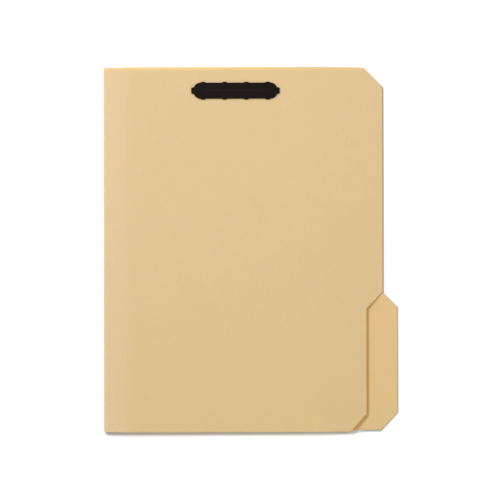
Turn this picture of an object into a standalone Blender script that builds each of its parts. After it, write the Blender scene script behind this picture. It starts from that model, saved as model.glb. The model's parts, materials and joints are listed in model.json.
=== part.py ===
"""A letter-size manila fastener folder, closed and lying flat with its fold at -X.

One creased board makes the back leaf, the spine, the gusset and the front leaf. The spine is a half
round that leaves room for the fasteners. The gusset and the spine make the square back of the folder
when it is filled: the gusset then stands up about the spine and the front leaf bends level at the last
score. A second ply reinforces the tab.

Each leaf carries a two-prong paper fastener near its top edge: a moulded shield outside the board, a
steel strip under it whose ends come through two slots, a prong hinged on each end, and inside the leaf
a compressor bar with two slide locks that run over the folded prongs.

Units are metres, +Z up. The origin is the middle of the folder's footprint, on the table.
"""

import math

import bmesh
import bpy
from mathutils import Matrix, Vector

# Board
BOARD = 0.00036  # thickness of the manila board
LENGTH = 0.29845  # along the fold
FRONT_WIDTH = 0.2292  # fold to the front leaf's free edge
INNER_GAP = 0.0054  # between the leaves' inner faces, where the two fasteners face each other
END_TAPER = 0.0011  # the ends are trimmed by this much at the fold
CORNER_CUT = 0.0163  # cut-off corner of both leaves
CORNER_RADIUS = 0.0030
DROP_START = 0.1600  # from the fold: the front leaf lies flat up to here and then comes down
EDGE_REST = 0.0004  # the front leaf's free edge stops this far over the ply

# Tab on the back leaf, and the notch in the front leaf that shows it
TAB_REACH = 0.0118  # beyond the leaves' edge
TAB_LENGTH = 0.1136  # along the edge, at its root
TAB_FOOT_DEPTH = 0.0130  # the cut at the tab's lower corner
TAB_FOOT_LENGTH = 0.0149
BACK_TRIM = 0.0010  # the back leaf ends this much short of the front leaf at the tab
NOTCH_DEPTH = 0.0134
NOTCH_LENGTH = 0.1145
NOTCH_FOOT_DEPTH = 0.0132  # the notch runs this much deeper at the folder's end
NOTCH_FOOT_LENGTH = 0.0144
PLY = 0.0003  # thickness of the reinforcing ply
PLY_REACH = 0.0445  # from the tab's edge towards the fold

# Scores
SCORE_PITCH = 0.00635
SCORE_COUNT = 3  # the last score joins the gusset to the front leaf
SCORE_WIDTH = 0.0009
SCORE_DEPTH = 0.00006
HINGE_GAP = 0.0001  # between the edges that meet at a fold or a score

# Fastener, where it sits and its prongs
FASTENER_FROM_FOLD = 0.1084
FASTENER_FROM_END = 0.0194
PRONG_SPACING = 0.06985
PRONG_WIDTH = 0.0044
PRONG_THICK = 0.00025
PRONG_LENGTH = 0.0270
PRONG_TIP_WIDTH = 0.0030
KNUCKLE_RADIUS = 0.0002

# Shield outside the board
CAP_LENGTH = 0.0687
CAP_WIDTH = 0.0131
CAP_RADIUS = 0.0058
CAP_THICK = 0.0009
CAP_EDGE = 0.0002  # rounding of the cap's rim
EAR_REACH = 0.0361  # the ears over the prong bends end here, from the middle
EAR_WIDTH = 0.0053
EAR_RADIUS = 0.0006
STAKE_PITCH = 0.0176
STAKES_A_ROW = 4
STAKE_INSET = 0.00145  # the stakes' middles from the cap's straight sides
BOSS_WIDTH = 0.0037
BOSS_PROUD = 0.0007  # the bosses round the stakes stand out of those sides
BOSS_RADIUS = 0.0005
STAKE_PAD_RADIUS = 0.0015
STAKE_POST_RADIUS = 0.0011
STAKE_HEAD_RADIUS = 0.0018
STAKE_HEAD_THICK = 0.0002
RIB_LENGTH = 0.0510
RIB_WIDTH = 0.0026
RELIEF = 0.0002  # height of the rib and the pads over the cap

# Compressor bar and slide locks inside the leaf
BAR_WIDTH = 0.0090
BAR_SHEET = 0.00025
BAR_SEAT = 0.00075  # the bar's underside over the board, which leaves room for the slides' lips
BAR_LIP = 0.0007  # height of its turned-up edges, from the underside
BAR_END_RADIUS = 0.0030
BAR_SLOT_LENGTH = 0.0160
BAR_SLOT_OUTSIDE = 0.0018  # how far the slot runs outside the prong
BAR_LAND = 0.0048  # from the slot to the end of the bar
SLIDE_LENGTH = 0.0060
SLIDE_SHEET = 0.0002
SLIDE_LIP = 0.0014  # how far the lips reach under the bar
SLIDE_PARKED = 0.0040  # slide's middle from the bar's middle
SLIDE_GRIP = 0.00025  # height of the finger ridge
SLIDE_GRIP_LENGTH = 0.0012

# Clearances
SEAT = 0.0001  # between faces that are bonded or rest on each other
SLOT_CLEAR = 0.0003  # round a strip or post in the board
RUN_CLEAR = 0.00015  # between pieces that slide or turn

ARC_STEPS = 6
ROUND_STEPS = 24
SPINE_STEPS = 16
DROP_STEPS = 14

# Worked out from the sizes above
GUSSET = SCORE_PITCH * SCORE_COUNT
SPINE_RADIUS = INNER_GAP / 2 + BOARD  # outer face of the spine
SHIELD_DROP = BOARD + SEAT + CAP_THICK + RELIEF  # inner face of a leaf to its shield's outermost face
INNER_Z = SHIELD_DROP  # height of the back leaf's inner face, with its shield on the table
FOLD_X = -(FRONT_WIDTH + TAB_REACH) / 2
HINGE_X = FOLD_X + SPINE_RADIUS
HINGE_Z = INNER_Z + INNER_GAP / 2
EDGE_DROP = INNER_GAP - SEAT - PLY - EDGE_REST  # how far the front leaf comes down at its free edge
HALF = LENGTH / 2
FASTENER_Y = HALF - FASTENER_FROM_END
LEAF_START = SPINE_RADIUS + HINGE_GAP
PRONG_X = PRONG_SPACING / 2
PRONG_BOTTOM = BAR_SEAT + BAR_SHEET + RUN_CLEAR * 2 / 3
PRONG_AXIS_Z = PRONG_BOTTOM + PRONG_THICK / 2
STRIP_TOP = -BOARD - SEAT  # the strip under the shield, seen from inside the leaf
BAR_LENGTH = PRONG_SPACING + 2 * (BAR_SLOT_OUTSIDE + BAR_LAND)
FOOT_RADIUS = BAR_LAND / 4  # the bar stands on a pressed foot in each land
SLIDE_TOP = BAR_SEAT + BAR_LIP + RUN_CLEAR + SLIDE_SHEET

MANILA = (0.745, 0.545, 0.295, 1.0)
BLACK = (0.012, 0.010, 0.010, 1.0)
STEEL = (0.62, 0.62, 0.60, 1.0)


def clear_scene():
    for obj in list(bpy.data.objects):
        bpy.data.objects.remove(obj)


def collection(name):
    made = bpy.data.collections.new(name)
    bpy.context.scene.collection.children.link(made)
    return made


def material(name, colour, roughness, metallic=0.0):
    made = bpy.data.materials.new(name)
    made.use_nodes = True
    shader = made.node_tree.nodes["Principled BSDF"]
    shader.inputs["Base Color"].default_value = colour
    shader.inputs["Roughness"].default_value = roughness
    shader.inputs["Metallic"].default_value = metallic
    return made


def rounded(corners):
    """Points of a closed outline. Each corner is (x, y) or (x, y, radius), and a radius becomes an arc."""
    points = []
    for i, corner in enumerate(corners):
        here = Vector(corner[:2])
        radius = corner[2] if len(corner) > 2 else 0
        if not radius:
            points.append(tuple(here))
            continue
        before = (Vector(corners[i - 1][:2]) - here).normalized()
        after = (Vector(corners[(i + 1) % len(corners)][:2]) - here).normalized()
        half_angle = before.angle(after) / 2
        centre = here + (before + after).normalized() * radius / math.sin(half_angle)
        start = here + before * radius / math.tan(half_angle) - centre
        end = here + after * radius / math.tan(half_angle) - centre
        turn = start.angle_signed(end)
        for step in range(ARC_STEPS + 1):
            spoke = start.copy()
            spoke.rotate(Matrix.Rotation(-turn * step / ARC_STEPS, 2))
            points.append(tuple(centre + spoke))
    return points


def rectangle(x0, y0, x1, y1, radius=0.0):
    return rounded([(x0, y0, radius), (x1, y0, radius), (x1, y1, radius), (x0, y1, radius)])


def arc(x, y, radius, first, last, steps=ARC_STEPS):
    """Points from one angle to another about a centre."""
    turns = [first + (last - first) * i / steps for i in range(steps + 1)]
    return [(x + radius * math.cos(a), y + radius * math.sin(a)) for a in turns]


def circle(x, y, radius):
    turns = [2 * math.pi * i / ROUND_STEPS for i in range(ROUND_STEPS)]
    return [(x + radius * math.cos(a), y + radius * math.sin(a)) for a in turns]


def plate(name, rings, thickness):
    """A flat outline with its holes, as a filled 2D curve whose thickness is centred on its plane."""
    curve = bpy.data.curves.new(name, "CURVE")
    curve.dimensions = "2D"
    curve.fill_mode = "BOTH"
    curve.extrude = thickness / 2
    for ring in rings:
        spline = curve.splines.new("POLY")
        spline.points.add(len(ring) - 1)
        for point, (x, y) in zip(spline.points, ring):
            point.co = (x, y, 0, 1)
        spline.use_cyclic_u = True
    obj = bpy.data.objects.new(name, curve)
    HELPERS.objects.link(obj)
    return obj


def prism(name, outline, thickness, edge):
    """A flat outline as a mesh whose thickness is centred on its plane, with both of its rims rounded."""
    shape = bmesh.new()
    half = thickness / 2
    low = [shape.verts.new((x, y, -half)) for x, y in outline]
    high = [shape.verts.new((x, y, half)) for x, y in outline]
    shape.faces.new(reversed(low))
    shape.faces.new(high)
    weight = shape.edges.layers.float.new("bevel_weight_edge")
    for i in range(len(outline)):
        shape.faces.new((low[i - 1], low[i], high[i], high[i - 1]))
        for rim in (low, high):
            shape.edges.get((rim[i - 1], rim[i]))[weight] = 1.0
    mesh = bpy.data.meshes.new(name)
    shape.to_mesh(mesh)
    shape.free()
    obj = bpy.data.objects.new(name, mesh)
    HELPERS.objects.link(obj)
    bevel = obj.modifiers.new("rim", "BEVEL")
    bevel.limit_method = "WEIGHT"
    bevel.width = edge
    bevel.segments = 2
    return obj


def mesh_of(obj):
    """The evaluated object as a mesh in its own place, with a curve's caps welded on."""
    bpy.context.view_layer.update()
    graph = bpy.context.evaluated_depsgraph_get()
    mesh = bpy.data.meshes.new_from_object(obj.evaluated_get(graph), depsgraph=graph)
    mesh.transform(obj.matrix_world)
    shape = bmesh.new()
    shape.from_mesh(mesh)
    bmesh.ops.remove_doubles(shape, verts=shape.verts, dist=1e-6)
    bmesh.ops.recalc_face_normals(shape, faces=shape.faces)
    shape.to_mesh(mesh)
    shape.free()
    bpy.data.objects.remove(obj)
    return mesh


def solid(obj):
    """The same shape as a mesh object, which a Boolean can take."""
    name = obj.name
    made = bpy.data.objects.new(name, mesh_of(obj))
    HELPERS.objects.link(made)
    return made


def combine(target, operation, *others):
    """The target joined with, cut by or limited to the others, as a new mesh object."""
    for other in others:
        modifier = target.modifiers.new(operation.lower(), "BOOLEAN")
        modifier.operation = operation
        modifier.object = other
        other.display_type = "WIRE"
        other.hide_render = True
    made = solid(target)
    for other in others:
        bpy.data.objects.remove(other)
    return made


def turned(name, profile):
    """A solid turned about Z from an open profile of (radius, z) points that runs down the outer side."""
    mesh = bpy.data.meshes.new(name)
    mesh.from_pydata([(r, 0, z) for r, z in profile], [(i, i + 1) for i in range(len(profile) - 1)], [])
    obj = bpy.data.objects.new(name, mesh)
    HELPERS.objects.link(obj)
    screw = obj.modifiers.new("turn", "SCREW")
    screw.steps = screw.render_steps = ROUND_STEPS
    screw.use_merge_vertices = True
    screw.merge_threshold = 1e-6
    return obj


def place(name, mesh, slot, parent, location, turn=0.0):
    """One finished piece of the folder, under the empty whose frame it is placed in."""
    obj = bpy.data.objects.new(name, mesh)
    FOLDER.objects.link(obj)
    obj.parent = parent
    obj.location = location
    obj.rotation_euler = (0, 0, turn)
    mesh.materials.clear()
    mesh.materials.append(slot)
    mesh.shade_smooth()
    mesh.set_sharp_from_angle(angle=math.radians(35))
    return obj


def frame_empty(name, location, turn_y=0.0, parent=None):
    empty = bpy.data.objects.new(name, None)
    FOLDER.objects.link(empty)
    empty.parent = parent
    empty.location = location
    empty.rotation_euler = (0, turn_y, 0)
    return empty


def fastener_holes(origin_x, mirror):
    """The slots for the strip's ends and the holes for the shield's stakes, in a leaf's own plane."""
    half_x = PRONG_THICK / 2 + SLOT_CLEAR
    half_y = PRONG_WIDTH / 2 + SLOT_CLEAR
    holes = []
    for side in (-1, 1):
        x = origin_x + side * PRONG_X
        holes.append(rectangle(x - half_x, FASTENER_Y - half_y, x + half_x, FASTENER_Y + half_y))
    for x, y in stake_places():
        holes.append(circle(origin_x + mirror * x, FASTENER_Y + y, STAKE_POST_RADIUS + SLOT_CLEAR))
    return holes


def stake_places():
    """Middles of the shield's stakes, in two rows along the cap's straight sides."""
    row_y = CAP_WIDTH / 2 - STAKE_INSET
    first = -STAKE_PITCH * (STAKES_A_ROW - 1) / 2
    return [(first + i * STAKE_PITCH, side * row_y) for i in range(STAKES_A_ROW) for side in (-1, 1)]


def end_line(distance):
    """Half the folder's length at a distance from the fold: full at the last score, trimmed at the fold."""
    return HALF - END_TAPER * max(0.0, 1 - distance / GUSSET)


def back_outline():
    """The back leaf with its cut corner and tab, measured from the fold."""
    root = -HALF + TAB_LENGTH
    outer = FRONT_WIDTH + TAB_REACH
    return rounded([
        (LEAF_START, -end_line(LEAF_START)),
        (GUSSET, -HALF),
        (outer - TAB_FOOT_DEPTH, -HALF + BACK_TRIM, CORNER_RADIUS),
        (outer, -HALF + TAB_FOOT_LENGTH, CORNER_RADIUS),
        (outer, root - TAB_REACH, CORNER_RADIUS),
        (FRONT_WIDTH, root, CORNER_RADIUS / 2),
        (FRONT_WIDTH, HALF - CORNER_CUT, CORNER_RADIUS),
        (FRONT_WIDTH - CORNER_CUT, HALF, CORNER_RADIUS),
        (GUSSET, HALF),
        (LEAF_START, end_line(LEAF_START)),
    ])


def ply_outline():
    """The reinforcing ply: the back leaf's outline from its free edge to PLY_REACH inside the tab."""
    inner = FRONT_WIDTH + TAB_REACH - PLY_REACH
    kept = [(x, y) for x, y in back_outline() if x > inner]
    return [(inner, kept[0][1])] + kept + [(inner, HALF)]


def front_outline():
    """The front leaf, measured from its score: a cut corner and the notch over the tab."""
    edge = FRONT_WIDTH - GUSSET
    notch = edge - NOTCH_DEPTH
    return rounded([
        (HINGE_GAP / 2, -HALF),
        (notch - NOTCH_FOOT_DEPTH, -HALF, CORNER_RADIUS / 3),
        (notch, -HALF + NOTCH_FOOT_LENGTH, CORNER_RADIUS),
        (notch, -HALF + NOTCH_LENGTH - NOTCH_DEPTH, CORNER_RADIUS),
        (edge, -HALF + NOTCH_LENGTH, CORNER_RADIUS / 3),
        (edge, HALF - CORNER_CUT, CORNER_RADIUS),
        (edge - CORNER_CUT, HALF, CORNER_RADIUS),
        (HINGE_GAP / 2, HALF),
    ])


def drop(distance):
    """How far the front leaf has come down at a distance from the fold, like a bar bent at its free end."""
    along = max(0.0, (distance - DROP_START) / (FRONT_WIDTH - DROP_START))
    return EDGE_DROP * along * along * (1.5 - along / 2)


def front_mesh():
    """The front leaf: its side view, flat and then curved down, limited to its outline."""
    run = FRONT_WIDTH - DROP_START
    stops = [0.0] + [DROP_START + run * i / DROP_STEPS for i in range(DROP_STEPS)] + [FRONT_WIDTH + BOARD]
    lower = [(x - GUSSET, -drop(x)) for x in stops]
    upper = [(x, z + BOARD) for x, z in reversed(lower)]
    slab = plate("front_slab", [lower + upper], LENGTH * 1.1)
    slab.rotation_euler = (math.pi / 2, 0, 0)
    holes = fastener_holes(FASTENER_FROM_FOLD - GUSSET, -1)
    blank = plate("front_blank", [front_outline()] + holes, INNER_GAP * 4)
    return mesh_of(combine(solid(slab), "INTERSECT", solid(blank)))


def gusset_mesh():
    """The gusset board over the spine's axis, with a groove pressed in its outer face at each score."""
    start = LEAF_START - SPINE_RADIUS
    end = GUSSET - SPINE_RADIUS - HINGE_GAP / 2
    near = end_line(LEAF_START)
    far = end_line(GUSSET)
    board = plate("gusset_board", [[(start, -near), (end, -far), (end, far), (start, near)]], BOARD)
    board.location = (0, 0, INNER_GAP / 2 + BOARD / 2)
    grooves = []
    for i in range(1, SCORE_COUNT):
        x = i * SCORE_PITCH - SPINE_RADIUS
        low = SPINE_RADIUS - SCORE_DEPTH
        high = SPINE_RADIUS + SCORE_DEPTH
        wedge = [(x - SCORE_WIDTH, high), (x, low), (x + SCORE_WIDTH, high)]
        groove = plate(f"score_{i}", [wedge], LENGTH * 1.1)
        groove.rotation_euler = (math.pi / 2, 0, 0)
        grooves.append(solid(groove))
    return mesh_of(combine(solid(board), "DIFFERENCE", *grooves))


def spine_mesh():
    """The half-round spine about its own axis, open towards +X."""
    steps = [math.pi * (0.5 + i / SPINE_STEPS) for i in range(SPINE_STEPS + 1)]
    inner = INNER_GAP / 2
    outer_arc = [(SPINE_RADIUS * math.cos(a), SPINE_RADIUS * math.sin(a)) for a in steps]
    inner_arc = [(inner * math.cos(a), inner * math.sin(a)) for a in reversed(steps)]
    spine = plate("spine", [outer_arc + inner_arc], 2 * end_line(SPINE_RADIUS))
    spine.rotation_euler = (math.pi / 2, 0, 0)
    return mesh_of(spine)


def leaf_mesh(name, outline, holes, thickness, middle):
    """A flat board or ply with its middle plane at a height in its own frame."""
    board = plate(name, [outline] + holes, thickness)
    board.location = (0, 0, middle)
    return mesh_of(board)


def cap_outline():
    """The cap seen flat: round corners, an ear at each end and a boss at each stake, from one quarter."""
    half_x = CAP_LENGTH / 2
    half_y = CAP_WIDTH / 2
    ear = EAR_WIDTH / 2
    arc_x = half_x - CAP_RADIUS
    arc_y = half_y - CAP_RADIUS
    first = math.asin((ear - arc_y) / CAP_RADIUS)
    quarter = [(EAR_REACH, ear - EAR_RADIUS), (EAR_REACH - EAR_RADIUS, ear)]
    quarter += arc(arc_x, arc_y, CAP_RADIUS, first, math.pi / 2)
    reach = BOSS_WIDTH / 2 - BOSS_RADIUS
    crown = half_y + BOSS_PROUD - BOSS_RADIUS
    for x, y in sorted(stake_places(), reverse=True):
        if x > 0 and y > 0:
            quarter.append((x + BOSS_WIDTH / 2, half_y))
            quarter += arc(x + reach, crown, BOSS_RADIUS, 0, math.pi / 2, steps=2)
            quarter += arc(x - reach, crown, BOSS_RADIUS, math.pi / 2, math.pi, steps=2)
            quarter.append((x - BOSS_WIDTH / 2, half_y))
    upper = quarter + [(-x, y) for x, y in reversed(quarter)]
    return upper + [(x, -y) for x, y in reversed(upper)]


def shield_mesh():
    """The moulded cap with its ears, rib and eight stakes, hollowed for the strip under it."""
    cap_low = -BOARD - SEAT - CAP_THICK
    rib_x = RIB_LENGTH / 2
    rib_y = RIB_WIDTH / 2
    cap = prism("cap", cap_outline(), CAP_THICK, CAP_EDGE)
    cap.location = (0, 0, cap_low + CAP_THICK / 2)
    rib = plate("rib", [rectangle(-rib_x, -rib_y, rib_x, rib_y, rib_y * 0.9)], RELIEF * 2)
    rib.location = (0, 0, cap_low)
    stakes = [stake(i, x, y) for i, (x, y) in enumerate(stake_places())]
    body = combine(solid(cap), "UNION", solid(rib), *stakes)
    pocket_x = PRONG_X + PRONG_THICK / 2 + RUN_CLEAR
    pocket_y = PRONG_WIDTH / 2 + RUN_CLEAR
    pocket_depth = PRONG_THICK + SEAT + RUN_CLEAR
    pocket = plate("pocket", [rectangle(-pocket_x, -pocket_y, pocket_x, pocket_y)], pocket_depth * 2)
    pocket.location = (0, 0, -BOARD - SEAT)
    return mesh_of(combine(body, "DIFFERENCE", solid(pocket)))


def stake(index, x, y):
    """A pad on the cap, a post through the board and the head spread over the board's inner face."""
    outer = -BOARD - SEAT - CAP_THICK - RELIEF
    head_top = SEAT + STAKE_HEAD_THICK
    soft = RELIEF / 2
    obj = turned(
        f"stake_{index}",
        [
            (0, head_top),
            (STAKE_HEAD_RADIUS - soft, head_top),
            (STAKE_HEAD_RADIUS, head_top - soft),
            (STAKE_HEAD_RADIUS, SEAT),
            (STAKE_POST_RADIUS, SEAT),
            (STAKE_POST_RADIUS, outer + CAP_THICK / 2),
            (STAKE_PAD_RADIUS, outer + CAP_THICK / 2),
            (STAKE_PAD_RADIUS, outer + soft),
            (STAKE_PAD_RADIUS - soft, outer),
            (0, outer),
        ],
    )
    obj.location = (x, y, 0)
    return solid(obj)


def strip_mesh():
    """The strip under the shield: a long base whose two ends turn in through the leaf."""
    low = STRIP_TOP - PRONG_THICK
    top = PRONG_AXIS_Z - KNUCKLE_RADIUS - RUN_CLEAR / 2
    out = PRONG_X + PRONG_THICK / 2
    inside = PRONG_X - PRONG_THICK / 2
    bend = PRONG_THICK * 1.2
    side = [
        (-out, top),
        (-out, low, bend),
        (out, low, bend),
        (out, top),
        (inside, top),
        (inside, STRIP_TOP),
        (-inside, STRIP_TOP),
        (-inside, top),
    ]
    strip = plate("strip", [rounded(side)], PRONG_WIDTH)
    strip.rotation_euler = (math.pi / 2, 0, 0)
    return mesh_of(strip)


def prong_mesh():
    """A soft steel prong folded flat along +X, its bend rounded about the origin."""
    half = PRONG_WIDTH / 2
    tip = PRONG_TIP_WIDTH / 2
    shoulder = PRONG_LENGTH - PRONG_TIP_WIDTH * 1.5
    blade = plate(
        "blade",
        [rounded([(0, -half), (shoulder, -half, 0.001), (PRONG_LENGTH, -tip, tip * 0.9),
                  (PRONG_LENGTH, tip, tip * 0.9), (shoulder, half, 0.001), (0, half)])],
        PRONG_THICK,
    )
    knuckle = plate("knuckle", [circle(0, 0, KNUCKLE_RADIUS)], PRONG_WIDTH)
    knuckle.rotation_euler = (math.pi / 2, 0, 0)
    return mesh_of(combine(solid(blade), "UNION", solid(knuckle)))


def bar_mesh():
    """The compressor: a channel with turned-up edges, round corners and a long slot for each prong."""
    half = BAR_WIDTH / 2
    base = BAR_SEAT
    lip = BAR_SEAT + BAR_LIP
    sheet = BAR_SHEET
    section = [
        (-half, lip), (-half, base, sheet * 1.2), (half, base, sheet * 1.2), (half, lip),
        (half - sheet, lip), (half - sheet, base + sheet), (sheet - half, base + sheet), (sheet - half, lip),
    ]
    channel = plate("channel", [rounded(section)], BAR_LENGTH)
    channel.rotation_euler = (math.pi / 2, 0, math.pi / 2)
    reach = BAR_LENGTH / 2
    outline = rectangle(-reach, -half * 1.01, reach, half * 1.01, BAR_END_RADIUS)
    blank = plate("blank", [outline], BAR_LIP * 4)
    blank.location = (0, 0, base)
    bar = combine(solid(channel), "INTERSECT", solid(blank))
    feet = []
    foot_height = BAR_SEAT + BAR_SHEET / 2 - SEAT
    for name, side in (("near_foot", -1), ("far_foot", 1)):
        foot = plate(name, [circle(side * (reach - BAR_LAND / 2), 0, FOOT_RADIUS)], foot_height)
        foot.location = (0, 0, SEAT + foot_height / 2)
        feet.append(solid(foot))
    bar = combine(bar, "UNION", *feet)
    slots = []
    slot_out = PRONG_X + BAR_SLOT_OUTSIDE
    slot_half = PRONG_WIDTH / 2 + SLOT_CLEAR
    for name, x0, x1 in (
        ("near_slot", -slot_out, BAR_SLOT_LENGTH - slot_out),
        ("far_slot", slot_out - BAR_SLOT_LENGTH, slot_out),
    ):
        slot = plate(name, [rectangle(x0, -slot_half, x1, slot_half, 0.0008)], BAR_SHEET * 4)
        slot.location = (0, 0, base)
        slots.append(solid(slot))
    return mesh_of(combine(bar, "DIFFERENCE", *slots))


def slide_mesh():
    """A slide lock: a sheet wrapped round the bar, open underneath, with a finger ridge on top."""
    inner = BAR_WIDTH / 2 + RUN_CLEAR
    outer = inner + SLIDE_SHEET
    under = BAR_SEAT - RUN_CLEAR
    foot = under - SLIDE_SHEET
    roof = SLIDE_TOP - SLIDE_SHEET
    lip = outer - SLIDE_LIP
    soft = SLIDE_SHEET * 1.2
    section = [
        (-lip, foot), (-lip, under), (-inner, under), (-inner, roof),
        (inner, roof), (inner, under), (lip, under), (lip, foot),
        (outer, foot, soft), (outer, SLIDE_TOP, soft), (-outer, SLIDE_TOP, soft), (-outer, foot, soft),
    ]
    wrap = plate("wrap", [rounded(section)], SLIDE_LENGTH)
    wrap.rotation_euler = (math.pi / 2, 0, math.pi / 2)
    half = SLIDE_GRIP_LENGTH / 2
    ridge = plate("ridge", [rectangle(-half, -inner / 2, half, inner / 2, half * 0.9)], SLIDE_GRIP * 2)
    ridge.location = (0, 0, SLIDE_TOP)
    return mesh_of(combine(solid(wrap), "UNION", solid(ridge)))


def add_fastener(leaf, frame, flipped, meshes):
    """The seven pieces of one fastener. A flipped frame has its +X towards the fold."""
    names = {-1: "right" if flipped else "left", 1: "left" if flipped else "right"}
    place(f"{leaf}_shield", meshes["shield"].copy(), PLASTIC, frame, (0, 0, 0))
    place(f"{leaf}_prong_strip", meshes["strip"].copy(), METAL, frame, (0, 0, 0))
    place(f"{leaf}_compressor", meshes["bar"].copy(), METAL, frame, (0, 0, 0))
    for side, name in names.items():
        hinge = (side * PRONG_X, 0, PRONG_AXIS_Z)
        turn = math.pi if side > 0 else 0.0
        place(f"{leaf}_prong_{name}", meshes["prong"].copy(), METAL, frame, hinge, turn)
        parked = (side * SLIDE_PARKED, 0, 0)
        place(f"{leaf}_slide_lock_{name}", meshes["slide"].copy(), METAL, frame, parked, turn)


def build():
    back_frame = frame_empty("back_frame", (FOLD_X, 0, INNER_Z))
    front_frame = frame_empty("front_frame", (FOLD_X + GUSSET, 0, INNER_Z + INNER_GAP))
    fastener_x = FASTENER_FROM_FOLD - GUSSET
    back_fastener = frame_empty("back_fastener_frame", (FASTENER_FROM_FOLD, FASTENER_Y, 0), 0.0, back_frame)
    front_fastener = frame_empty("front_fastener_frame", (fastener_x, FASTENER_Y, 0), math.pi, front_frame)

    holes = fastener_holes(FASTENER_FROM_FOLD, 1)
    back = leaf_mesh("back_board", back_outline(), holes, BOARD, -BOARD / 2)
    ply = leaf_mesh("ply_board", ply_outline(), [], PLY, SEAT + PLY / 2)
    place("back_panel", back, PAPER, back_frame, (0, 0, 0))
    place("tab_reinforcement", ply, PAPER, back_frame, (0, 0, 0))
    place("spine_fold", spine_mesh(), PAPER, None, (HINGE_X, 0, HINGE_Z))
    place("expansion_gusset", gusset_mesh(), PAPER, None, (HINGE_X, 0, HINGE_Z))
    place("front_panel", front_mesh(), PAPER, front_frame, (0, 0, 0))

    meshes = {
        "shield": shield_mesh(),
        "strip": strip_mesh(),
        "prong": prong_mesh(),
        "bar": bar_mesh(),
        "slide": slide_mesh(),
    }
    add_fastener("back", back_fastener, False, meshes)
    add_fastener("front", front_fastener, True, meshes)


clear_scene()
FOLDER = collection("fastener_folder")
HELPERS = collection("helpers")
PAPER = material("manila_board", MANILA, 0.8)
PLASTIC = material("black_shield", BLACK, 0.42)
METAL = material("tinned_steel", STEEL, 0.3, 1.0)
build()
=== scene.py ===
"""The manila fastener folder as photographed: closed and flat, seen from straight above on white."""

import json
import math

import bmesh
import bpy
from mathutils import Matrix, Vector

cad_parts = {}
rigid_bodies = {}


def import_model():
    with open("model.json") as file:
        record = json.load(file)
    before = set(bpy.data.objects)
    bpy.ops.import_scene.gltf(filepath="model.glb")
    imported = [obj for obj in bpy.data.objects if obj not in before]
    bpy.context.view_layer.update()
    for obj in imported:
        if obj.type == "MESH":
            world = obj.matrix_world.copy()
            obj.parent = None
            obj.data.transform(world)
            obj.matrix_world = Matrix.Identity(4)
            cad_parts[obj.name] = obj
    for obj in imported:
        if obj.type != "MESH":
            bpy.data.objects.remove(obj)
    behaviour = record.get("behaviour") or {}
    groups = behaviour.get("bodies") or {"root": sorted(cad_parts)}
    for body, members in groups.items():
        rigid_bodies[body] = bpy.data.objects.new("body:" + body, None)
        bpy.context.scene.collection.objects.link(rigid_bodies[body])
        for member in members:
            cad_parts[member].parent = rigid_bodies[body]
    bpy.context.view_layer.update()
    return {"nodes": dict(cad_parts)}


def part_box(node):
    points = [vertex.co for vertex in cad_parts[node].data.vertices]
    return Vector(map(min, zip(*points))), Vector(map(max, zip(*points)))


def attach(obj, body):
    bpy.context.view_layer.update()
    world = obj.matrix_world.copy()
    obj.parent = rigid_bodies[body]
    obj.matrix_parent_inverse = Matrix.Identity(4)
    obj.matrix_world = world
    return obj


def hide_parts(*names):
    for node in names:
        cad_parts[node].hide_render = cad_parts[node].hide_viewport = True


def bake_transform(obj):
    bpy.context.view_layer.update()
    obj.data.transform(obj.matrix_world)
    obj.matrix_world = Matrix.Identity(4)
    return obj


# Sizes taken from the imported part, in metres
FOLD_X = -0.1205  # outer face of the fold
SCORE_X = FOLD_X + 0.01905  # last score, where the front leaf begins
EDGE_X = FOLD_X + 0.2292  # free edge of the front leaf
TAB_X = 0.1205  # edge of the tab
TAB_TOP = -0.0359  # where the tab begins to stand out from the back leaf's free edge
TAB_FOOT = -0.1343  # where the tab's near corner begins
TAB_FOOT_SLOPE = 0.92
CORNER_CUT = 0.0163
NOTCH_X = 0.0953  # edge of the front leaf beside the tab
NOTCH_TOP = -0.0485
NOTCH_FOOT = -0.1346
NOTCH_FOOT_SLOPE = 0.90
HALF = 0.149225  # half the folder's length
BOARD = 0.00036
INNER_Z = 0.00156  # inner face of the back leaf
COVER_Z = 0.00696  # inner face of the front leaf
HINGE_X = FOLD_X + 0.00306
HINGE_Z = (INNER_Z + COVER_Z) / 2
FASTENER_X = FOLD_X + 0.1084
FASTENER_Y = HALF - 0.0194
CREST_Y = FASTENER_Y + 0.0004  # the rib along the shield
LOCK_FACES = (("back", 0.00336), ("front", 0.00516))  # z of the faces that get the ridges
CARD_TOP = INNER_Z - BOARD - 0.00005  # the soft card gives way under the back shield

# What the finished pieces have beyond the CAD, in metres
SLICE = 0.006  # longest side of a board's small faces
WAVE = 0.00022  # the front leaf's unevenness
WAVES = (  # radians to the metre along x and along y, start and share of each wave
    (21.0, 13.0, 0.7, 0.22),
    (-17.0, 33.0, 2.1, 0.18),
    (47.0, 8.0, 4.0, 0.10),
)
FLAT_ROUND_FASTENER = (0.060, 0.032)  # half-axes of the ellipse in which the front leaf is flat
FREE_FROM = (1.0, 2.2)  # where the waves start and are full, in sizes of that ellipse
FLAT_BY_SCORE = 0.03
SNAP = 0.00012  # how near a fold or score an edge has to be to move onto it
NEAR_END_CUT = 0.0007  # how much squarer the fold's ends are cut than they are drawn
FAR_END_CUT = 0.0005
END_CUT_FROM = (HALF - 0.004, HALF - 0.0015)
TRIM = 0.0005  # how much short of its drawing the free edge is cut
TRIM_FROM = (0.097, 0.107)
BEAD_RADIUS = BOARD * 0.98
BEAD_TURNS = range(0, 91, 15)  # degrees
SHIELD_ROUNDING = 0.00011
WELD = 1e-6  # points nearer than this become one
CUT_TOLERANCE = 1e-7
RIDGES = {"Count": 7, "Pitch": 0.0008, "Length": 0.0040, "Radius": 0.00013}
RIDGE_SIDES = 12

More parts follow.
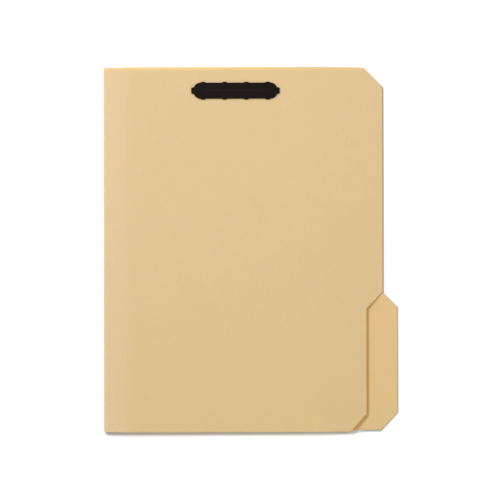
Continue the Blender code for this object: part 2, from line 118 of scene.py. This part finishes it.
# Angles between faces, in degrees
SHARP = 35
SHARP_ON_SHIELD = 6  # keeps its flat faces flat beside the rounded edges
ROUNDED_ABOVE = 50

# Finished colours, linear
MANILA = (0.733, 0.557, 0.303)
MANILA_DEEP = (0.610, 0.390, 0.155)
# painted highlight: the board lighter by the fold, whose rounding faces the light
MANILA_FOLD_HIGHLIGHT = (0.772, 0.580, 0.338)
# painted shade: darker and warmer towards the near end, farther from the light
MANILA_NEAR_SHADE = (0.725, 0.545, 0.268)
MANILA_RIM_HIGHLIGHT = (0.812, 0.615, 0.275)  # painted highlight along the far edge, where the cut edge catches the light
TAB_TINT = (0.787, 0.550, 0.270)
GOLDEN = (0.950, 0.515, 0.090)  # board lit by board, where one sheet ends on another
NOTCH_EDGE_SHADE = (0.640, 0.300, 0.030)  # painted shade along the front leaf's die-cut edge beside the tab
BLACK = (0.0070, 0.0046, 0.0037)
BLACK_CLOUDY = (0.0100, 0.0058, 0.0042)
# painted highlight along the rib's top edge, where it faces the light
BLACK_CREST_HIGHLIGHT = (0.0200, 0.0150, 0.0120)
STEEL = (0.60, 0.60, 0.58)
STEEL_DULL = (0.50, 0.50, 0.49)
CARD = (0.86, 0.86, 0.86)  # what the folder gets its light back from
CARD_SEEN = (1.65, 1.65, 1.65)
CARD_FAR = (12.0, 12.0, 12.0)
CARD_SIDE = (0.50, 0.535, 0.53)  # contact shadow on the right
CARD_END = (0.78, 0.765, 0.74)  # contact shadow at the near end
ROOM = (0.550, 0.536, 0.512)  # what the room sends on the folder
ROOM_SEEN = (1.5, 1.5, 1.5)

# Where the painted highlights and shade come in over the folder: from none to full, in metres
RIM_TONE = (HALF - 0.0032, HALF - 0.0018)
RIM_TONE_ALONG = (0.09, -0.05)
NEAR_SHADE_TONE = (-0.02, -0.14)
FOLD_HIGHLIGHT_TONE = (FOLD_X + 0.030, FOLD_X + 0.008)
SPINE_HIGHLIGHT_TONE = (SCORE_X + 0.0004, SCORE_X - 0.0004)
FRONT_EDGE_SHADE = (-0.0012, 0.0)  # painted shade, past the cut-out's edge
PLY_EDGE_BOUNCE = (0.0034, 0.0)  # painted bounce light and shade, past the cut-out's edge
UNDER_FRONT = (-0.0013, -0.0003)  # past the cut-out's edge
CREST_HIGHLIGHT_TONE = (0.0010, 0.0003)  # painted highlight, from the shield's rib
CREST_HIGHLIGHT_END = (0.0256, 0.0235)  # painted highlight, from the rib's middle

# The contact shadow on the card, in metres
SIDE_SHADOW = (-0.0003, 0.0035)  # past the right edge, from its full tone to none
END_SHADOW = (0.0012, 0.0050)  # past the near edge, from its full tone to none
SHADOW_CORNER = (-0.001, 0.001)  # where the side's tone gives way to the end's
LIT_SIDE = (-0.0002, 0.0)  # past the fold and the far edge, which have no shadow
BESIDE_TAB = (0.0860, 0.0955)  # where the near edge goes over to the tab's
TAB_END_IN = 0.0013  # how much shorter the tab is at the near end
END_SLANT = 0.003
CARD_FAR_SQUARED = (0.1, 4.0)  # square metres, from the middle to where the card is all white

# Stage, in metres and watts
CARD_SIZE = 6.0
KEY = {"location": (-0.86, 0.90, 1.22), "size": 0.55, "power": 16.7, "colour": (0.995, 1.010, 1.11)}
FILL = {"location": (0.52, 0.14, 0.72), "size": 0.60, "power": 1.30, "colour": (1.0, 0.97, 0.86)}
CAMERA_PLACE = (-0.00050, -0.00035, COVER_Z + BOARD + 1.0)
CAMERA_TURN = -0.12  # degrees
LENS, SENSOR = 88.12, 36.0  # millimetres
NEAREST, FARTHEST = 0.05, 20.0


# Shader nodes


class Value:
    """A socket that can be used in arithmetic. Each operation becomes a Math node."""

    def __init__(self, graph, socket):
        self.graph = graph
        self.socket = socket

    def math(self, operation, *others, clamp=False):
        node = self.graph.tree.nodes.new("ShaderNodeMath")
        node.operation = operation
        node.use_clamp = clamp
        for slot, value in zip(node.inputs, (self, *others)):
            self.graph.feed(slot, value)
        return Value(self.graph, node.outputs[0])

    def __add__(self, other):
        return self.math("ADD", other)

    def __sub__(self, other):
        return self.math("SUBTRACT", other)

    def __mul__(self, other):
        return self.math("MULTIPLY", other)

    def __rsub__(self, other):
        return (self * -1.0) + other

    __radd__ = __add__

    def at_least(self, other):
        return self.math("MAXIMUM", other)

    def at_most(self, other):
        return self.math("MINIMUM", other)

    def size(self):
        return self.math("ABSOLUTE")

    def clamped(self):
        """The value held between 0 and 1."""
        return self.math("ADD", 0.0, clamp=True)

    def step(self, none, full):
        """0 at none and 1 at full, with a smooth change between and no change beyond."""
        node = self.graph.add(
            "ShaderNodeMapRange",
            {"interpolation_type": "SMOOTHSTEP"},
            {"Value": self, "From Min": none, "From Max": full},
        )
        return Value(self.graph, node.outputs["Result"])


def colour_mix(tree):
    """The share, the two colours and the result of a new mix, whose sockets go by number."""
    node = tree.nodes.new("ShaderNodeMix")
    node.data_type = "RGBA"
    return node.inputs[0], node.inputs[6:8], node.outputs[2]


class Graph:
    """The shader of one material."""

    def __init__(self, name):
        self.material = bpy.data.materials.new(name)
        self.material.use_nodes = True
        self.tree = self.material.node_tree
        self.tree.nodes.clear()
        self.output = self.tree.nodes.new("ShaderNodeOutputMaterial")

    def feed(self, slot, value):
        """Link a value or a socket to an input, or set the input to a number or a colour."""
        if isinstance(value, Value):
            value = value.socket
        if isinstance(value, bpy.types.NodeSocket):
            self.tree.links.new(value, slot)
        elif isinstance(value, tuple) and slot.type == "RGBA" and len(value) == 3:
            slot.default_value = (*value, 1.0)
        else:
            slot.default_value = value

    def add(self, kind, settings, inputs):
        """A node of a kind, with its settings and its inputs by name."""
        node = self.tree.nodes.new(kind)
        for name, value in settings.items():
            setattr(node, name, value)
        for name, value in inputs.items():
            self.feed(node.inputs[name], value)
        return node

    def value(self, kind, settings, inputs, output=0):
        """One output of a new node, by number or by name, to calculate with."""
        return Value(self, self.add(kind, settings, inputs).outputs[output])

    def place(self):
        """The point's x and y in the row frame."""
        coordinates = self.add("ShaderNodeTexCoord", {}, {}).outputs["Object"]
        split = self.add("ShaderNodeSeparateXYZ", {}, {"Vector": coordinates})
        return Value(self, split.outputs["X"]), Value(self, split.outputs["Y"])

    def facing(self):
        """How far the surface faces up in the row frame, from -1 to 1."""
        normal = self.add("ShaderNodeTexCoord", {}, {}).outputs["Normal"]
        return self.value("ShaderNodeSeparateXYZ", {}, {"Vector": normal}, "Z")

    def noise(self, scale, detail, rough, stretch=(1.0, 1.0, 1.0)):
        """Noise from 0 to 1, with scale features to the metre."""
        coordinates = self.add("ShaderNodeTexCoord", {}, {}).outputs["Object"]
        mapped = self.add("ShaderNodeMapping", {}, {"Vector": coordinates, "Scale": stretch})
        inputs = {
            "Vector": mapped.outputs[0],
            "Scale": scale,
            "Detail": detail,
            "Roughness": rough,
        }
        return self.value("ShaderNodeTexNoise", {}, inputs)

    def blend(self, share, first, second):
        """A colour between two, by a share from 0 to 1."""
        amount, slots, result = colour_mix(self.tree)
        self.feed(amount, share)
        for slot, colour in zip(slots, (first, second)):
            self.feed(slot, colour)
        return result

    def bump(self, height, strength, distance):
        inputs = {"Height": height, "Strength": strength, "Distance": distance}
        return self.add("ShaderNodeBump", {}, inputs).outputs[0]

    def principled(self, **inputs):
        """The material with a principled shader, its inputs in lower case with underscores."""
        named = {
            key.replace("_", " ").title().replace("Ior", "IOR"): value
            for key, value in inputs.items()
        }
        shader = self.add("ShaderNodeBsdfPrincipled", {}, named)
        self.tree.links.new(shader.outputs[0], self.output.inputs["Surface"])
        return self.material


def manila(name, tint=MANILA, edge=None):
    """Manila board: soft fibres, a cloudy formation and darker flecks; painted highlights at the far
    rim and the fold, painted shade at the near end.

    edge is painted light on the outer face beside the front leaf's cut-out (painted shade on the
    front leaf, painted bounce light on the tab ply): a colour, its share, and where it goes from
    none to full, in metres past the cut.
    """
    g = Graph(name)
    x, y = g.place()
    cloud = g.noise(38.0, detail=4.0, rough=0.6)
    formation = g.noise(420.0, detail=3.0, rough=0.6, stretch=(1.0, 0.45, 1.0))
    fibre = g.noise(1500.0, detail=2.0, rough=0.7, stretch=(1.0, 0.12, 1.0))
    fleck = g.noise(2600.0, detail=1.0, rough=0.5, stretch=(1.0, 0.35, 1.0)).step(0.735, 0.80)
    uneven = (cloud - 0.5) * 0.10 + (formation - 0.5) * 0.13 + (fibre - 0.5) * 0.22
    deep = (uneven + fleck * 0.40 + 0.08).clamped()
    # painted shade towards the near end
    near = y.step(*NEAR_SHADE_TONE) * 0.6
    # painted highlight by the fold and over the gusset up to the last score
    fold = x.step(*FOLD_HIGHLIGHT_TONE) * 0.5 + x.step(*SPINE_HIGHLIGHT_TONE) * 0.15
    # painted highlight along the far edge, stronger towards the fold
    rim = y.step(*RIM_TONE) * (x.step(*RIM_TONE_ALONG) * 0.6 + 0.35)
    colour = g.blend(near, g.blend(deep, tint, MANILA_DEEP), MANILA_NEAR_SHADE)
    colour = g.blend(fold, colour, MANILA_FOLD_HIGHLIGHT)
    colour = g.blend(rim, colour, MANILA_RIM_HIGHLIGHT)
    if edge:
        # painted shade or painted bounce light beside the cut-out
        edge_colour, share, none, full = edge
        corner = (y - NOTCH_TOP).at_least(0.0) + NOTCH_X
        foot = (y - NOTCH_FOOT) * NOTCH_FOOT_SLOPE + NOTCH_X
        past = x - corner.at_most(foot)
        outer = g.facing().step(0.2, 0.8)
        beside = past.step(none, full)
        if none > full:  # the tone fades away from the cut, so it begins under the front leaf
            beside = beside * past.step(*UNDER_FRONT)
        colour = g.blend(beside * outer * share, colour, edge_colour)
    height = formation * 0.5 + fibre * 0.35 + cloud * 0.3
    return g.principled(
        base_color=colour,
        roughness=0.72 + (formation - 0.5) * 0.16 + (fibre - 0.5) * 0.10,
        normal=g.bump(height, strength=0.32, distance=0.00012),
        sheen_weight=0.08,
        sheen_roughness=0.5,
        specular_ior_level=0.28,
        subsurface_weight=0.35,
        subsurface_radius=(1.0, 0.45, 0.12),
        subsurface_scale=0.0005,
    )


def moulded_black(name):
    """Fine-grained black plastic, smoother in worn patches, with a painted highlight along the rib's
    top edge.
    """
    g = Graph(name)
    grain = g.noise(3200.0, detail=2.0, rough=0.6)
    cloud = g.noise(160.0, detail=3.0, rough=0.6)
    wear_and_highlight = g.noise(520.0, detail=4.0, rough=0.7).step(0.55, 0.75)
    x, y = g.place()
    along_rib = (x - FASTENER_X).size().step(*CREST_HIGHLIGHT_END)
    crest_highlight = (y - CREST_Y).size().step(*CREST_HIGHLIGHT_TONE) * along_rib
    colour = g.blend(cloud.step(0.35, 0.75), BLACK, BLACK_CLOUDY)
    # painted highlight along the rib, patchy
    colour = g.blend(crest_highlight * (0.35 + wear_and_highlight * 0.4), colour, BLACK_CREST_HIGHLIGHT)
    return g.principled(
        base_color=colour,
        roughness=0.46 + (grain - 0.5) * 0.18 - wear_and_highlight * 0.08,
        normal=g.bump(grain * 0.6 + cloud * 0.4, strength=0.25, distance=0.00006),
        specular_ior_level=0.09,
    )


def tinned_steel(name):
    """Tinned strip with rolling lines along its length, dull patches and light scratches."""
    g = Graph(name)
    along = (0.04, 1.0, 1.0)
    rolled = g.noise(2400.0, detail=2.0, rough=0.7, stretch=along)
    patch = g.noise(140.0, detail=4.0, rough=0.6)
    scratch = g.noise(900.0, detail=6.0, rough=0.75, stretch=along).step(0.62, 0.70)
    return g.principled(
        base_color=g.blend(patch.step(0.3, 0.8), STEEL, STEEL_DULL),
        metallic=1.0,
        roughness=0.30 + (rolled - 0.5) * 0.20 + patch * 0.10 + scratch * 0.08,
        normal=g.bump(rolled * 0.7 + scratch * 0.3, strength=0.20, distance=0.00003),
    )


def photo_floor(name):
    """White card. The camera sees it overexposed, so that only the folder's shadow keeps a tone.

    The back leaf's own weight presses its near and right edges on the card, and a contact shadow
    follows them. beyond_side and beyond_end are how far a point is past those edges.
    """
    g = Graph(name)
    x, y = g.place()
    beside_tab = x.step(*BESIDE_TAB)
    tab = (TAB_TOP - y).at_least(0.0) + EDGE_X
    foot = (y - TAB_FOOT) * TAB_FOOT_SLOPE + TAB_X
    corner = EDGE_X + HALF - CORNER_CUT - y
    beyond_side = x - tab.at_most(TAB_X).at_most(foot).at_most(corner)
    beyond_end = beside_tab * TAB_END_IN - HALF - y + x * END_SLANT
    side = beyond_side.step(*SIDE_SHADOW)
    end = beyond_end.step(*END_SHADOW)
    lit = (FOLD_X - x).step(*LIT_SIDE).at_least((y - HALF).step(*LIT_SIDE))
    no_shadow = side.at_least(end).at_least(lit)
    end_tone = g.blend(beside_tab, CARD_END, CARD_SIDE)
    contact = g.blend((beyond_end - beyond_side).step(*SHADOW_CORNER), CARD_SIDE, end_tone)
    far = (x * x + y * y).step(*CARD_FAR_SQUARED)
    seen = g.blend(far, g.blend(no_shadow, contact, CARD_SEEN), CARD_FAR)
    camera = g.value("ShaderNodeLightPath", {}, {}, "Is Camera Ray")
    card = g.add("ShaderNodeBsdfDiffuse", {}, {"Color": g.blend(camera, CARD, seen)})
    g.feed(g.output.inputs["Surface"], card.outputs[0])
    return g.material


# The board's shape


def ripple(x, y):
    """The board's own unevenness, from 0 to 1, in long shallow waves."""
    height = 0.5
    for along_x, along_y, start, share in WAVES:
        height += share * math.sin(along_x * x + along_y * y + start)
    return height


def smooth(value, low, high):
    """0 below low and 1 above high, with a smooth rise between."""
    t = min(1.0, max(0.0, (value - low) / (high - low)))
    return t * t * (3 - 2 * t)


def rise(x, y, wave):
    """How far a leaf stands off its flat CAD shape. It is flat at the fastener and at the score."""
    reach_x, reach_y = FLAT_ROUND_FASTENER
    away = math.hypot((x - FASTENER_X) / reach_x, (y - FASTENER_Y) / reach_y)
    free = smooth(away, *FREE_FROM) * smooth(x, SCORE_X, SCORE_X + FLAT_BY_SCORE)
    return wave * ripple(x, y) * free


def snapped(x):
    """An edge at a fold or a score moves onto its line, so that the creased sheet shows no gap."""
    for line in (HINGE_X, SCORE_X):
        if abs(x - line) < SNAP:
            return line
    return x


def settled(x, y):
    """The ends of the fold, which are cut squarer than they are drawn."""
    share = max(0.0, 1 - (x - FOLD_X) / (SCORE_X - FOLD_X))
    near = NEAR_END_CUT * smooth(-y, *END_CUT_FROM)
    far = FAR_END_CUT * smooth(y, *END_CUT_FROM)
    return y + (far - near) * share


def trimmed(x):
    """The free edges right of the tab's cut-out are cut a little short."""
    return x - TRIM * smooth(x, *TRIM_FROM)


# Pieces


def piece(name, mesh, material, body, slot, *nodes, sharp=SHARP):
    """A finished piece in the row frame that rides on a body and stands for CAD nodes.
    """
    mesh.materials.clear()
    mesh.materials.append(material)
    mesh.shade_smooth()
    mesh.set_sharp_from_angle(angle=math.radians(sharp))
    obj = bpy.data.objects.new(name, mesh)
    bpy.context.scene.collection.objects.link(obj)
    if body:
        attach(obj, body)
    if nodes:
        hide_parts(*nodes)
    return obj


def cad_shape(node):
    """A CAD node's mesh, to work on."""
    shape = bmesh.new()
    shape.from_mesh(frame["nodes"][node].data)
    return shape


def made_mesh(name, shape):
    """The mesh of a finished shape."""
    mesh = bpy.data.meshes.new(name)
    shape.to_mesh(mesh)
    shape.free()
    return mesh


def cut_through(shape, place, normal, **sides):
    """Cut a shape along a plane, and take away the sides that are named."""
    everything = shape.verts[:] + shape.edges[:] + shape.faces[:]
    bmesh.ops.bisect_plane(
        shape,
        geom=everything,
        plane_co=place,
        plane_no=normal,
        dist=CUT_TOLERANCE,
        **sides,
    )


def sliced(name, node, material, body, wave=0.0, half=None):
    """A CAD board cut into small faces, so that it can wave, in place of the CAD node.

    half is "lower" or "upper" for the part of the spine below or above its middle.
    """
    shape = cad_shape(node)
    low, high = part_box(node)
    for axis, normal in enumerate((Vector((1, 0, 0)), Vector((0, 1, 0)))):
        count = int((high[axis] - low[axis]) / SLICE)
        for i in range(1, count):
            cut_through(shape, normal * (low[axis] + (high[axis] - low[axis]) * i / count), normal)
    if half:
        cut_through(
            shape,
            (0, 0, HINGE_Z),
            (0, 0, 1),
            clear_inner=half == "upper",
            clear_outer=half == "lower",
        )
        bmesh.ops.remove_doubles(shape, verts=shape.verts, dist=WELD)
        rim = [e for e in shape.edges if len(e.link_faces) == 1]
        bmesh.ops.holes_fill(shape, edges=rim, sides=0)
        bmesh.ops.recalc_face_normals(shape, faces=shape.faces)
    for v in shape.verts:
        v.co.x = trimmed(snapped(v.co.x))
        v.co.y = settled(v.co.x, v.co.y)
        v.co.z += rise(v.co.x, v.co.y, wave)
    return piece(name, made_mesh(name, shape), material, body, "manila_board", node)


def softened(name, node, material, body):
    """A CAD shield with its sharp edges rounded, in place of the CAD node."""
    shape = cad_shape(node)
    bmesh.ops.remove_doubles(shape, verts=shape.verts, dist=WELD)
    limit = math.radians(ROUNDED_ABOVE)
    bmesh.ops.bevel(
        shape,
        geom=[e for e in shape.edges if len(e.link_faces) == 2 and e.calc_face_angle() > limit],
        offset=SHIELD_ROUNDING,
        offset_type="OFFSET",
        segments=2,
        profile=0.5,
        affect="EDGES",
        clamp_overlap=True,
    )
    bmesh.ops.triangulate(shape, faces=shape.faces, ngon_method="EAR_CLIP")
    mesh = made_mesh(name, shape)
    return piece(name, mesh, material, body, "black_shield", node, sharp=SHARP_ON_SHIELD)


def score_bead(name, material, body):
    """The rounded outer side of the last score. It lies inside the board until the score is bent."""
    shape = bmesh.new()
    section = [(SCORE_X, COVER_Z)]
    for turn in map(math.radians, BEAD_TURNS):
        out, up = BEAD_RADIUS * math.sin(turn), BEAD_RADIUS * math.cos(turn)
        section.append((SCORE_X + out, COVER_Z + up))
    near = [shape.verts.new((x, -HALF, z)) for x, z in section]
    far = [shape.verts.new((x, HALF, z)) for x, z in section]
    shape.faces.new(near)
    shape.faces.new(reversed(far))
    for i in range(len(section)):
        shape.faces.new((near[i - 1], far[i - 1], far[i], near[i]))
    bmesh.ops.recalc_face_normals(shape, faces=shape.faces)
    return piece(name, made_mesh(name, shape), material, body, "manila_board")


def ridge_tree():
    """Geometry nodes for a row of half-buried ribs along X, each lying along Y."""
    tree = bpy.data.node_groups.new("grip_ridges", "GeometryNodeTree")
    for name, value in RIDGES.items():
        kind = "NodeSocketInt" if name == "Count" else "NodeSocketFloat"
        tree.interface.new_socket(name, in_out="INPUT", socket_type=kind).default_value = value
    tree.interface.new_socket("Material", in_out="INPUT", socket_type="NodeSocketMaterial")
    tree.interface.new_socket("Geometry", in_out="OUTPUT", socket_type="NodeSocketGeometry")

    def node(kind, inputs, **settings):
        made = tree.nodes.new(kind)
        for key, value in settings.items():
            setattr(made, key, value)
        for key, value in inputs.items():
            if isinstance(value, bpy.types.NodeSocket):
                tree.links.new(value, made.inputs[key])
            else:
                made.inputs[key].default_value = value
        return made.outputs[0] if made.outputs else None

    given = tree.nodes.new("NodeGroupInput").outputs
    step = node("ShaderNodeCombineXYZ", {"X": given["Pitch"]})
    row = node("GeometryNodeMeshLine", {"Count": given["Count"], "Offset": step}, mode="OFFSET")
    sizes = {"Vertices": RIDGE_SIDES, "Radius": given["Radius"], "Depth": given["Length"]}
    bar = node("GeometryNodeMeshCylinder", sizes)
    laid = node("GeometryNodeTransform", {"Geometry": bar, "Rotation": (math.pi / 2, 0, 0)})
    ribs = node("GeometryNodeInstanceOnPoints", {"Points": row, "Instance": laid})
    real = node("GeometryNodeRealizeInstances", {"Geometry": ribs})
    done = node("GeometryNodeSetMaterial", {"Geometry": real, "Material": given["Material"]})
    node("NodeGroupOutput", {"Geometry": done})
    return tree


def grip_ridges(tree, leaf, side, face, material):
    """Ribs pressed into the outer face of one slide lock, for the finger."""
    low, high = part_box(f"{leaf}_slide_lock_{side}")
    obj = bpy.data.objects.new("ridge_maker", bpy.data.meshes.new("ridge_maker"))
    bpy.context.scene.collection.objects.link(obj)
    modifier = obj.modifiers.new("ridges", "NODES")
    modifier.node_group = tree
    inputs = [item for item in tree.interface.items_tree if item.in_out == "INPUT"]
    sockets = {item.name: item.identifier for item in inputs}
    modifier[sockets["Material"]] = material
    count = modifier[sockets["Count"]]
    pitch = modifier[sockets["Pitch"]]
    evaluated = obj.evaluated_get(bpy.context.evaluated_depsgraph_get())
    mesh = bpy.data.meshes.new_from_object(evaluated)
    obj.modifiers.clear()
    bpy.data.objects.remove(obj)
    middle = [(a + b) / 2 for a, b in zip(low, high)]
    first = (middle[0] - pitch * (count - 1) / 2, middle[1], face)
    mesh.transform(Matrix.Translation(first))
    body = f"{leaf}_slide_lock_{side}"
    return piece(f"{leaf}_grip_ridges_{side}", mesh, material, body, "tinned_steel")


# Stage


def area_light(name, location, size, power, colour):
    """A round light that points at the middle of the folder."""
    light = bpy.data.lights.new(name, "AREA")
    light.shape = "DISK"
    light.size = size
    light.energy = power
    light.color = colour
    obj = bpy.data.objects.new(name, light)
    obj.location = location
    obj.rotation_mode = "QUATERNION"
    obj.rotation_quaternion = (-Vector(location)).to_track_quat("-Z", "Y")
    bpy.context.scene.collection.objects.link(obj)


def set_stage():
    """The card, the room, the two lights and the camera."""
    bpy.ops.mesh.primitive_plane_add(size=CARD_SIZE, location=(0, 0, CARD_TOP))
    floor = bpy.context.object
    floor.name = "white_card"
    floor.data.materials.append(photo_floor("white_card"))

    world = bpy.data.worlds.new("studio")
    bpy.context.scene.world = world
    world.use_nodes = True
    tree = world.node_tree
    path = tree.nodes.new("ShaderNodeLightPath")
    share, slots, result = colour_mix(tree)
    for slot, colour in zip(slots, (ROOM, ROOM_SEEN)):
        slot.default_value = (*colour, 1.0)
    tree.links.new(path.outputs["Is Camera Ray"], share)
    tree.links.new(result, tree.nodes["Background"].inputs["Color"])

    area_light("key", **KEY)
    area_light("fill", **FILL)

    camera = bpy.data.cameras.new("camera")
    camera.sensor_width = SENSOR
    camera.lens = LENS
    camera.clip_start = NEAREST
    camera.clip_end = FARTHEST
    obj = bpy.data.objects.new("camera", camera)
    obj.location = CAMERA_PLACE
    obj.rotation_euler = (0, 0, math.radians(CAMERA_TURN))
    bpy.context.scene.collection.objects.link(obj)
    bpy.context.scene.camera = obj
    bpy.context.scene.view_settings.view_transform = "Standard"


for old in list(bpy.data.objects):
    bpy.data.objects.remove(old)

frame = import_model()

board = manila("manila_board")
# painted shade along the cut-out on the front leaf's outer face
front_board = manila("manila_front", edge=(NOTCH_EDGE_SHADE, 1.0, *FRONT_EDGE_SHADE))
# painted bounce light and shade on the tab ply beside the cut-out
tab_board = manila("manila_tab", tint=TAB_TINT, edge=(GOLDEN, 0.32, *PLY_EDGE_BOUNCE))
shield_black = moulded_black("shield_black")
steel = tinned_steel("tinned_steel")

sliced("front_leaf_board", "front_panel", front_board, "front_leaf", wave=WAVE)
sliced("back_leaf_board", "back_panel", board, "back_leaf")
sliced("tab_ply", "tab_reinforcement", tab_board, "back_leaf")
sliced("gusset_board", "expansion_gusset", board, "gusset")
score_bead("score_bead", board, "gusset")

# The spine, cut at its middle into a lower and an upper half, which ride on no body.
spine_lower = sliced("spine_board_lower", "spine_fold", board, None, half="lower")
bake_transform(spine_lower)
spine_upper = sliced("spine_board_upper", "spine_fold", board, None, half="upper")
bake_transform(spine_upper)

for leaf in ("back", "front"):
    softened(f"{leaf}_shield_moulding", f"{leaf}_shield", shield_black, f"{leaf}_leaf")

ridges = ridge_tree()
for leaf, face in LOCK_FACES:
    for side in ("left", "right"):
        grip_ridges(ridges, leaf, side, face, steel)

# The CAD nodes that still show are all of steel
for node in frame["nodes"].values():
    if node.hide_render:
        continue
    node.data.materials.clear()
    node.data.materials.append(steel)
    node.data.shade_smooth()
    node.data.set_sharp_from_angle(angle=math.radians(SHARP))

set_stage()
